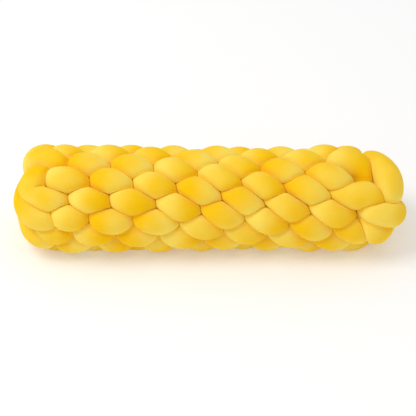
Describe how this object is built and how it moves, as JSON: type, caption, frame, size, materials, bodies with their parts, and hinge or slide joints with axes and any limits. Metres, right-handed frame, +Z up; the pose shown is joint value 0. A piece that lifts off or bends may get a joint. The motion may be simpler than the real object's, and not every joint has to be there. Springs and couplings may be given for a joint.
{
  "type": "braided bolster pillow",
  "caption": "Decorative bolster pillow braided from long stuffed velvet tubes, for a sofa or bed.",
  "frame": {"origin": "on the surface the pillow lies on, below the middle of its box", "axes": "+X along the pillow's length, towards the end where the tubes are tucked in; +Z up; the pictured side faces -Y and up"},
  "size_m": [0.618, 0.1632, 0.1571],
  "materials": {
    "velvet": "short pile velvet, matt with a soft pale sheen along the rims"
  },
  "bodies": {
    "root": {"tube_front": "velvet", "tube_upper": "velvet", "tube_lower": "velvet", "tube_back": "velvet"}
  },
  "joints": []
}
